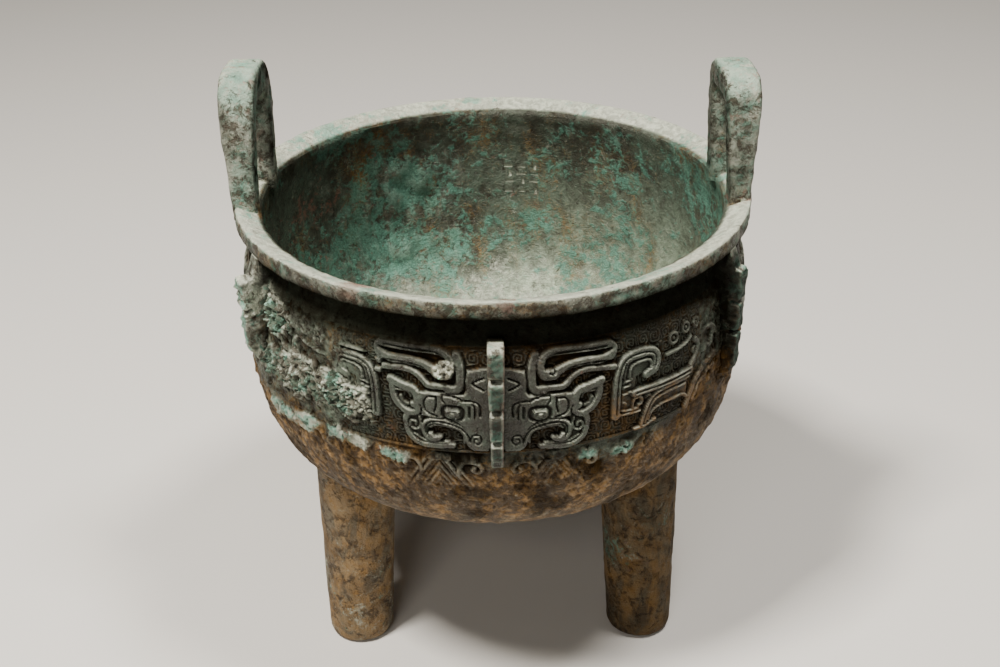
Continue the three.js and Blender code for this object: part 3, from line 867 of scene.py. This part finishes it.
class MESH_OT_ding_inscription(bpy.types.Operator):
    """Cuts the rows of short strokes inside the back wall"""

    bl_idname = "mesh.ding_inscription"
    bl_label = "Inscription"

    def execute(self, context):
        s = context.scene.ding_sizes
        bowl = bpy.data.objects["ding_bowl"]
        bars = []
        for row in range(SCRIPT_ROWS):
            for column in range(SCRIPT_COLUMNS):
                sway = (row * 7 + column * 5) % 4 - 1.5
                way = math.radians(SCRIPT_AT + (column - 1) * SCRIPT_COLUMN + 0.2 * sway)
                height = SCRIPT_LOW + row * SCRIPT_ROW + 0.45 * ((row * 5 + column * 3) % 3 - 1)
                radius = wall_at(s, height) - float(wall_thick(s, height))
                clear_selection()
                bpy.ops.mesh.primitive_cube_add(size=1)
                bar = context.object
                long, thin, deep = (3.6 + 0.3 * sway) * MM, STROKE_THIN * MM, STROKE_DEEP * MM
                bar.scale = (long, deep, thin) if (row * 2 + column) % 3 else (thin, deep, long)
                bar.rotation_euler = (0, 0, way)
                bar.location = (radius * MM * math.sin(way), -radius * MM * math.cos(way), height * MM)
                bpy.ops.object.transform_apply(location=True, rotation=True, scale=True)
                bars.append(bar)
        clear_selection()
        for bar in bars:
            bar.select_set(True)
        context.view_layer.objects.active = bars[0]
        bpy.ops.object.join()
        apply_boolean(bowl, bars[0], "DIFFERENCE")
        return {"FINISHED"}


SMOOTH_ANGLE = math.radians(48)


class MESH_OT_ding_cast(bpy.types.Operator):
    """Finishes the casting: marks where each patina, painted shade and painted highlight lies, gives it its
    material and sets it in the frame
    """

    bl_idname = "mesh.ding_cast"
    bl_label = "Casting and Patina"

    def execute(self, context):
        s = context.scene.ding_sizes
        vessel = bpy.data.objects["ding_bowl"]
        vessel.name = "ding_vessel_cast"
        vessel.data.name = "ding_vessel_cast"
        make_active(vessel)
        bpy.ops.object.shade_smooth_by_angle(angle=SMOOTH_ANGLE)
        for name, values in patina_places(s, vessel).items():
            marks = vessel.data.attributes.new(name, "FLOAT", "POINT")
            marks.data.foreach_set("value", values.astype(np.float32))
        vessel.data.materials.clear()
        vessel.data.materials.append(patina_material(context.scene.ding_finish))
        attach(vessel, "root")
        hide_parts(NODE)
        return {"FINISHED"}


def hollows(obj, rounds):
    """How far each point lies below the smoothed skin around it, in millimetres; less than 0 on edges."""
    co = points_of(obj)
    ends = np.empty(len(obj.data.edges) * 2, np.int32)
    obj.data.edges.foreach_get("vertices", ends)
    a, b = ends[0::2], ends[1::2]
    count = np.maximum(np.bincount(ends, minlength=len(co)), 1)[:, None]
    soft = co.copy()
    for _ in range(rounds):
        total = [np.bincount(a, soft[b, i], len(co)) + np.bincount(b, soft[a, i], len(co)) for i in range(3)]
        soft = 0.4 * soft + 0.6 * np.stack(total, 1) / count
    return ((soft - co) * normals_of(obj)).sum(1)


# Heights that part the zones of the patina, in millimetres.
INSIDE_LOW, INSIDE_HIGH, LEG_HEAD, FLANGE_FOOT = 73.5, 179.6, 92, 118
CARVED_LOW, CARVED_HIGH, LIP_FOOT, EAR_FOOT = 125, 164.5, 174.2, 182.8


def lay(under, *zones):
    """An amount for every point, laid zone by zone, each over what lies under it."""
    for zone, amount in zones:
        under = np.where(zone, amount, under)
    return under


def patina_places(s, vessel):
    """How much of each patina, and of the painted shade and highlights, lies at each point, 0 to 1."""
    co, normal = points_of(vessel), normals_of(vessel)
    angle, r, z = places(co)
    wall_r = outer_wall(s, z)

    def at(*place):
        return spot(angle, z, *place)

    # the zones of the vessel
    inner = (z > INSIDE_LOW) & (z < INSIDE_HIGH) & (r < wall_r - np.where(z < 176, 1.8, 2.6))
    ear = z > EAR_FOOT
    lip = ~inner & ~ear & (z > LIP_FOOT)
    leg = ~inner & (z < under_bowl(s, r) - 0.8) & (z < LEG_HEAD)
    wall = ~inner & ~ear & ~lip & ~leg
    flange = wall & (z > FLANGE_FOOT) & (r > wall_r + 3.4)
    skin = wall & ~flange
    frieze = skin & (z > CARVED_LOW) & (z < CARVED_HIGH)
    stroke = inner & (at(SCRIPT_AT, 147, 8, 10) > 0.2) & (r > wall_r - wall_thick(s, z) + 0.45)

    # which way the faces look, and slow changes over the vessel; left and right steer the painted light and
    # shade
    up, left, right = normal[:, 2], smooth(-20, 70, -co[:, 0]), smooth(-10, 60, co[:, 0])
    out = (normal[:, 0] * co[:, 0] + normal[:, 1] * co[:, 1]) / np.maximum(r, 1)
    along = np.cos(np.radians(angle)) * normal[:, 0] + np.sin(np.radians(angle)) * normal[:, 1]
    top = smooth(0.35, 0.85, up)
    drift = cloud(co, 0.028, 3, 11)
    deep = 1 - smooth(84, 122, z + 10 * drift)

    # crusts, carving, edges and grooves; grooves get dark fill and painted shade, upward edges get wear and a
    # painted highlight
    crust = np.where(wall, crust_zone(co), 0)
    crust = np.clip(crust * (1.05 + 0.8 * cloud(co, 0.12, 2, 25)), 0, 1)
    clean = 1 - crust
    lump = at(-10.3, 157.5, 3, 3) * crust
    knob = crust * smooth(8, 14, angle)
    under = crust * (1 - smooth(122, 128, z)) * (angle < 0)
    eaten = np.where(wall, weather_zone(angle, z), 0)
    bare = np.where(wall & (z < CARVED_LOW), bare_zone(angle, z), 0)
    raised = np.zeros(len(co))
    k = np.nonzero(skin & (z > 104) & (z < CARVED_HIGH))[0]
    raised[k] = relief(angle[k], z[k])[1]
    fine, broad = hollows(vessel, 3), hollows(vessel, 14)
    # Darkness in hollows: dark fill in part, painted shade in part.
    groove_fill_and_shade = np.clip(broad / 0.4, 0, 1)
    edge = np.clip(-fine / 0.13, 0, 1)
    # More pale on edges facing up, and less on the right-hand flanges: a painted highlight on top of the
    # wear.
    edge *= lay(0.25 + 0.3 * bare,
                (ear | lip, 0.7),
                (flange, 0.6 - 0.3 * right),
                (frieze, (0.35 + 0.65 * raised) * smooth(0.05, 0.55, up) + 0.06))

    low = 121 + 13 * smooth(34, 60, angle) + 5 * drift
    rusty = frieze * smooth(16, 30, angle) * (1 - smooth(60, 70, angle)) * (1 - smooth(134, 152, z))
    earth = np.where(wall, 1 - smooth(low - 6, low + 12, z), 0) * 0.95
    earth = lay(earth, (frieze, np.maximum(earth, 0.46 - 0.40 * raised - 0.1 * eaten))) * (1 - 0.35 * crust)
    earth = np.where(leg, 0.95, earth) * (1 - 0.45 * bare) + 0.6 * lump + 0.75 * rusty * raised
    earth = lay(earth,
                (inner, 0.30 + 0.3 * drift + 0.12 * at(160, 110, 30, 30)),
                (lip | ear | flange, 0.34 + 0.25 * drift + 0.14 * lip * (1 - top)))

    # Tops of the lip, ears and flanges, and the left-hand ears, flanges and leg, get more film and pale
    # crust: painted light from above and the left. Inside, the right wall below mid-height gets more film: a
    # painted pool of light.
    film = lay(0.2 * eaten * (angle < 0) + 0.45 * crust,
               (inner, 0.03 + 0.85 * deep + 0.86 * right * (1 - smooth(104, 165, z))),
               (lip, top), (ear, 0.24 + 0.7 * top), (stroke, 0.9))

    pale = lay(0.0,
               (lip, 0.36 + 0.44 * top + 0.14 * drift),
               (ear, 0.32 + 0.45 * top + 0.3 * drift + 0.16 * left),
               (inner, 0.18 + 0.4 * deep + 0.8 * stroke),
               (wall, 0.05 + 0.92 * crust + 0.16 * eaten - 0.3 * lump - 0.45 * knob - 0.2 * under),
               (leg, 0.10 + 0.14 * left + 0.25 * drift),
               (flange, 0.02 + 0.74 * top + 0.40 * left))

    wet = at(-140, 118, 26, 26) + 0.8 * at(-155, 146, 14, 14) + 0.5 * at(120, 105, 40, 30)
    green = lay(0.0,
                (wall, 0.06 + 0.40 * crust + 0.14 * eaten - 0.6 * lump + 0.2 * knob + 0.06 * under),
                (lip, 0.34 + 0.10 * (1 - top) + 0.25 * drift),
                (flange, 0.34 + 0.26 * smooth(0.5, 0.9, out) + 0.2 * drift),
                (ear, 0.46 + 0.35 * drift),
                (inner, 0.33 + 0.26 * np.clip(wet, 0, 1) + 0.25 * drift + 0.06 * right),
                (leg, 0.12 + 0.2 * drift))

    cheek = wall & (z < 172) & (np.abs(co[:, 0]) < 4) & (co[:, 1] < 0) & (along > 0.5) & (r > wall_r + 0.5)
    red = lay(0.0,
              (lip, at(-30, 180, 3, 6) + at(2, 178, 2.4, 6) + at(82, 180, 5, 9)),
              (inner, 0.5 * at(-122, 152, 18, 18) + 0.4 * at(172, 136, 6, 4)),
              (cheek, 0.9))
    red = 0.08 + 0.75 * np.clip(red, 0, 1) + 0.12 * drift + 0.16 * ear

    # The lip and ears carry more dark pits on their sides than on their tops: grit, and in part painted shade
    # on the sides.
    pit = lay(0.16,
              (wall, 0.22 + 0.29 * earth * clean),
              (frieze, 0.20 + 0.22 * crust + 0.2 * eaten),
              (lip, 0.10 + 0.34 * (1 - top)),
              (ear, 0.12 + 0.28 * (1 - top)),
              (leg, 0.30), (flange, 0.32))

    blotch = 0.66 * smooth(0.05, 0.40, cloud(co, 0.075, 3, 31)) * clean * (z > 74)
    creep = 0.55 * smooth(110, 126, z + 9 * cloud(co, 0.06, 3, 35)) * clean
    # The frieze's soot: a darker ground tone, painted shade in its grooves, and less soot on upward edges as
    # a painted highlight.
    carved = (0.66 + 0.8 * groove_fill_and_shade - 0.18 * raised - 0.6 * edge) * (1 - 0.95 * crust) * (1 - 0.3 * eaten)
    dark = lay(0.85 * groove_fill_and_shade, (wall, np.maximum(blotch, 0.85 * groove_fill_and_shade))) + 0.45 * bare * (1 - raised)
    dark = lay(dark,
               (wall & ~frieze & (z < 126), np.maximum(dark, creep)),
               (frieze, carved + 0.75 * groove_fill_and_shade * crust))
    # Painted shadow of the lip: the skin darkens from the upper frieze to full soot on the neck band.
    dark = lay(dark, (skin, np.maximum(dark, smooth(154, 165, z) * clean)))
    # Painted shade on the ears: darker on faces turned in towards the bowl and on the right, with random
    # darker patches; tops stay lit.
    shady = 0.14 + 0.1 * right + 0.42 * smooth(0.2, 0.9, -out)
    shady += 0.4 * smooth(0.1, 0.45, cloud(co, 0.13, 3, 33))
    # Painted shade inside: darker on the upper left wall, from mid-height up, and just under the lip.
    shaded = 0.3 * smooth(0.1, 0.8, left) * smooth(108, 150, z) + 0.26 * smooth(105, 135, z)
    shaded += 0.25 * smooth(155, 178, z)
    # Painted shade and shadow: a shadow beside the flange at 60 degrees, darker lip side and lower lip edge,
    # darker flange sides except on the left, and a darker right leg.
    dark = lay(dark,
               (skin & (angle > 0), dark + 0.55 * at(58.5, 154, 4.5, 22)),
               (lip, 0.56 * (1 - smooth(-0.2, 0.5, up)) + 0.45 * (1 - smooth(175.5, 179, z))),
               (flange, (0.92 + 0.04 * right) * (1 - top) * (1 - 0.9 * left) - 0.6 * edge + 0.8 * groove_fill_and_shade),
               (ear, shady * (1 - top) + 0.8 * groove_fill_and_shade),
               (leg, 0.6 * groove_fill_and_shade + 0.26 + 0.42 * right),
               (inner, shaded * (1 - stroke)))

    gloss = lay(0.2,
                (frieze, (0.25 + 0.7 * raised) * clean * (1 - 0.5 * eaten)),
                (flange, 0.6 * clean))
    # Painted light on the crust: brighter on upward faces, dimmer low on the bowl.
    painted_light_on_crust = crust * (0.6 + 0.4 * smooth(-0.2, 0.5, up)) * (0.1 + 0.9 * smooth(122, 132, z))
    marks = {"earth": earth, "film": film, "pale": pale, "green": green, "red": red, "pit": pit,
             "dark": dark, "edge": edge, "gloss": gloss, "crust": painted_light_on_crust}
    return {name: np.clip(amount, 0, 1) for name, amount in marks.items()}


class Nodes:
    """Short ways to lay out a material's nodes."""

    def __init__(self, tree):
        self.tree = tree

    def add(self, kind, **values):
        node = self.tree.nodes.new(kind)
        for name, value in values.items():
            setattr(node, name, value)
        return node

    def link(self, source, target):
        self.tree.links.new(source, target)

    def put(self, socket, value):
        if isinstance(value, bpy.types.NodeSocket):
            self.link(value, socket)
        else:
            socket.default_value = value

    def fill(self, node, **values):
        for name, value in values.items():
            self.put(node.inputs[name.replace("_", " ")], value)
        return node

    def vector(self, operation, a, b):
        node = self.add("ShaderNodeVectorMath", operation=operation)
        self.put(node.inputs[0], a)
        self.put(node.inputs[1], b)
        return node.outputs["Vector"]

    def mark(self, name):
        return self.add("ShaderNodeAttribute", attribute_name=name).outputs["Fac"]

    def noise(self, at, scale, detail=6.0, rough=0.6, twist=0.0, shift=0.0):
        """A noise field of so many features per metre, shifted to be unlike the others."""
        place = self.vector("ADD", at, (shift, shift * 0.7, shift * 1.3))
        return self.fill(self.add("ShaderNodeTexNoise"), Vector=place, Scale=scale, Detail=detail,
                         Roughness=rough, Distortion=twist).outputs["Fac"]

    def blend(self, *parts):
        """A weighted sum of fields."""
        total = None
        for weight, field in parts:
            part = self.times(field, weight)
            total = part if total is None else self.math("ADD", total, part)
        return total

    def math(self, operation, a, b=0.0):
        node = self.add("ShaderNodeMath", operation=operation)
        self.put(node.inputs[0], a)
        self.put(node.inputs[1], b)
        return node.outputs["Value"]

    def times(self, a, b):
        return self.math("MULTIPLY", a, b)

    def ramp(self, value, low, high, to_low=0.0, to_high=1.0):
        node = self.add("ShaderNodeMapRange", interpolation_type="SMOOTHSTEP")
        return self.fill(node, Value=value, From_Min=low, From_Max=high, To_Min=to_low,
                         To_Max=to_high).outputs["Result"]

    def mix(self, amount, a, b):
        node = self.add("ShaderNodeMix", data_type="RGBA")
        self.put(node.inputs["Factor"], amount)
        self.put(node.inputs[6], a)
        self.put(node.inputs[7], b)
        return node.outputs[2]

    def patches(self, field, amount, soft=0.05):
        """Patches of a noise field that grow from none at amount 0 to all at amount 1."""
        edge = self.math("SUBTRACT", 0.68, self.times(amount, 0.36))
        return self.ramp(field, self.math("SUBTRACT", edge, soft), self.math("ADD", edge, soft))


def patina_material(c):
    """Bronze under layers of dark, olive, brown, pale and turquoise patina, with painted shade and painted
    highlights.
    """
    material = bpy.data.materials.new("bronze_patina")
    material.use_nodes = True
    n = Nodes(material.node_tree)
    n.tree.nodes.clear()
    out = n.add("ShaderNodeOutputMaterial")
    shader = n.add("ShaderNodeBsdfPrincipled")
    n.link(shader.outputs["BSDF"], out.inputs["Surface"])
    at = n.add("ShaderNodeTexCoord").outputs["Object"]
    drawn = n.vector("MULTIPLY", at, (1.0, 1.0, 0.38))
    broad = n.noise(drawn, 46, 5, 0.6, 0.5)
    middle = n.noise(at, 150, 6, 0.65, 0.4, 1.7)
    small = n.noise(at, 430, 5, 0.65, 0.5, 3.1)
    fine = n.noise(at, 1300, 4, 0.65, 0.0, 4.9)

    def tint(colour, strength=1.0):
        return tuple(x * strength for x in colour[:3]) + (1,)

    def cover(mark, soft, *fields):
        """Where a patina lies: patches of some fields, as many as its mark says."""
        return n.patches(n.blend(*fields), n.mark(mark), soft)

    # metal, thin film, earth
    metal = n.ramp(n.blend((0.4, broad), (0.35, middle), (0.25, small)), 0.42, 0.58)
    colour = n.mix(metal, tint(c.bronze), tint(c.olive))
    wash = n.mix(n.ramp(n.blend((0.5, middle), (0.5, small)), 0.38, 0.62), tint(c.film, 0.5), tint(c.film))
    film = n.ramp(n.blend((0.5, broad), (0.5, middle)), 0.36, 0.58, 0.62, 1.0)
    colour = n.mix(n.times(n.mark("film"), film), colour, wash)
    earth = cover("earth", 0.09, (0.4, n.noise(drawn, 60, 5, 0.6, 0.4, 7.7)), (0.35, small), (0.25, fine))
    clods = n.ramp(n.noise(drawn, 110, 8, 0.72, 0.5, 26.0), 0.40, 0.60)
    colour = n.mix(n.times(earth, 0.9), colour, n.mix(clods, tint(c.earth, 0.30), tint(c.earth)))
    # pale, turquoise and red crusts; where the crust mark says, the pale and turquoise crusts are painted
    # brighter, as painted light
    pale = cover("pale", 0.06, (0.3, n.noise(at, 70, 4, 0.6, 0.3, 9.3)),
                 (0.4, n.noise(at, 240, 5, 0.65, 0.4, 10.1)), (0.3, fine))
    chalk = n.mix(n.ramp(small, 0.4, 0.62), tint(c.pale, 0.55), tint(c.pale))
    chalk = n.mix(n.mark("crust"), chalk, tint(c.pale, 1.75))
    colour = n.mix(n.times(pale, 0.85), colour, chalk)
    green = cover("green", 0.045, (0.35, n.noise(at, 85, 4, 0.6, 0.5, 12.9)),
                  (0.35, n.noise(at, 260, 5, 0.65, 0.6, 14.3)), (0.3, small))
    teal = n.ramp(n.blend((0.5, fine), (0.5, middle)), 0.40, 0.62)
    teal = n.mix(teal, tint(c.malachite, 0.5), tint(c.malachite))
    teal = n.mix(n.mark("crust"), teal, tint(c.malachite, 1.7))
    colour = n.mix(n.times(green, 0.85), colour, teal)
    rust = cover("red", 0.05, (0.5, n.noise(at, 120, 4, 0.6, 0.8, 17.2)),
                 (0.5, n.noise(at, 420, 4, 0.6, 0.4, 18.8)))
    colour = n.mix(n.times(rust, 0.75), colour, tint(c.red))
    # worn edges, paler with a painted highlight on their upper sides; pits; and soot in the grooves that also
    # paints shade
    worn = n.times(n.mark("edge"), n.ramp(middle, 0.35, 0.6, 0.3, 0.8))
    colour = n.mix(worn, colour, tint(c.pale, 0.8))
    pits = n.patches(n.noise(at, 260, 8, 0.78, 0.5, 21.0), n.mark("pit"), 0.05)
    colour = n.mix(n.times(pits, 0.8), colour, tint(c.earth, 0.12))
    colour = n.mix(n.times(n.mark("dark"), 0.92), colour, tint(c.soot_and_painted_shade))
    # Less specular where the soot and painted shade lie.
    shine = n.blend((0.3, n.mark("gloss")), (-0.42, n.mark("dark")))
    shine = n.math("MAXIMUM", n.math("ADD", shine, 0.34), 0.0)
    crusty = n.math("MAXIMUM", n.math("MAXIMUM", green, pale), earth)
    rough = n.blend((1.0, n.ramp(small, 0.3, 0.7, 0.34, 0.56)), (0.26, crusty), (-0.15, n.mark("gloss")))
    height = n.blend((0.9, small), (0.6, fine), (0.5, middle), (-0.4, pits), (0.15, crusty))
    bump = n.fill(n.add("ShaderNodeBump"), Strength=0.8, Distance=0.0013, Height=height).outputs["Normal"]
    n.fill(shader, Base_Color=colour, Metallic=0.0, Roughness=rough, Specular_IOR_Level=shine, Normal=bump)
    return material


# Each lamp: name, place, size, power and colour. All look at a point on the vessel's axis.
LAMPS = [
    ("key", (-0.40, -0.36, 1.20), 0.22, 31.0, (1.0, 0.95, 0.88)),
    ("second", (0.34, -0.16, 1.25), 0.24, 15.0, (1.0, 0.96, 0.91)),
    ("front", (-0.35, -1.10, 0.75), 0.50, 4.5, (1.0, 0.96, 0.91)),
]
LIT_POINT = Vector((0, 0, 0.12))
SKY_COLOUR, SKY_STRENGTH = (0.80, 0.79, 0.77, 1), 0.07
# The camera stands a hair to the side and looks a little past the axis.
CAMERA_X, CAMERA_HEADING = 0.00004, -0.22


class SCENE_OT_ding_stage(bpy.types.Operator):
    """Sets the floor, soft light and camera"""

    bl_idname = "scene.ding_stage"
    bl_label = "Stage"

    def execute(self, context):
        t = context.scene.ding_stage
        clear_selection()
        bpy.ops.mesh.primitive_plane_add(size=8, location=(0, 0, 0))
        floor = context.object
        floor.name = "floor"
        paint = bpy.data.materials.new("pale_floor")
        paint.use_nodes = True
        shader = paint.node_tree.nodes["Principled BSDF"]
        shader.inputs["Base Color"].default_value = tuple(t.floor_shade)
        shader.inputs["Roughness"].default_value = 0.8
        floor.data.materials.append(paint)
        world = bpy.data.worlds.new("studio") if context.scene.world is None else context.scene.world
        context.scene.world = world
        world.use_nodes = True
        sky = world.node_tree.nodes["Background"]
        sky.inputs["Color"].default_value = SKY_COLOUR
        sky.inputs["Strength"].default_value = SKY_STRENGTH
        for name, place, size, power, tone in LAMPS:
            bpy.ops.object.light_add(type="AREA", location=place)
            lamp = context.object
            lamp.name = name
            lamp.data.size = size
            lamp.data.energy = power
            lamp.data.color = tone
            lamp.rotation_euler = (LIT_POINT - Vector(place)).to_track_quat("-Z", "Y").to_euler()
        bpy.ops.object.camera_add(location=(CAMERA_X, -t.distance_back, t.eye_height))
        camera = context.object
        camera.name = "camera"
        heading = Matrix.Rotation(math.radians(CAMERA_HEADING), 3, "Z")
        tilt = Matrix.Rotation(math.pi / 2 - t.pitch, 3, "X")
        camera.rotation_euler = (heading @ tilt @ Matrix.Rotation(-t.roll, 3, "Z")).to_euler()
        camera.data.lens = t.lens
        camera.data.sensor_width = 36.0
        camera.data.clip_start = 0.01
        context.scene.camera = camera
        return {"FINISHED"}


class VIEW3D_PT_ding(bpy.types.Panel):
    """Lists the steps of the vessel"""

    bl_idname = "VIEW3D_PT_ding"
    bl_label = "Bronze Ding"
    bl_space_type = "VIEW_3D"
    bl_region_type = "UI"
    bl_category = "Ding"

    def draw(self, context):
        for step in STEPS:
            self.layout.operator(step.bl_idname)


STEPS = (MESH_OT_ding_bowl, MESH_OT_ding_legs, MESH_OT_ding_ears, MESH_OT_ding_flanges,
         MESH_OT_ding_inscription, MESH_OT_ding_cast, SCENE_OT_ding_stage)
CLASSES = (DingSizes, DingFinish, DingStage) + STEPS + (VIEW3D_PT_ding,)


def register():
    for c in CLASSES:
        bpy.utils.register_class(c)
    bpy.types.Scene.ding_sizes = PointerProperty(type=DingSizes)
    bpy.types.Scene.ding_finish = PointerProperty(type=DingFinish)
    bpy.types.Scene.ding_stage = PointerProperty(type=DingStage)


def unregister():
    del bpy.types.Scene.ding_sizes
    del bpy.types.Scene.ding_finish
    del bpy.types.Scene.ding_stage
    for c in reversed(CLASSES):
        bpy.utils.unregister_class(c)


def main():
    register()
    bpy.ops.mesh.ding_bowl()
    bpy.ops.mesh.ding_legs()
    bpy.ops.mesh.ding_ears()
    bpy.ops.mesh.ding_flanges()
    bpy.ops.mesh.ding_inscription()
    bpy.ops.mesh.ding_cast()
    bpy.ops.scene.ding_stage()


if __name__ == "__main__":
    main()
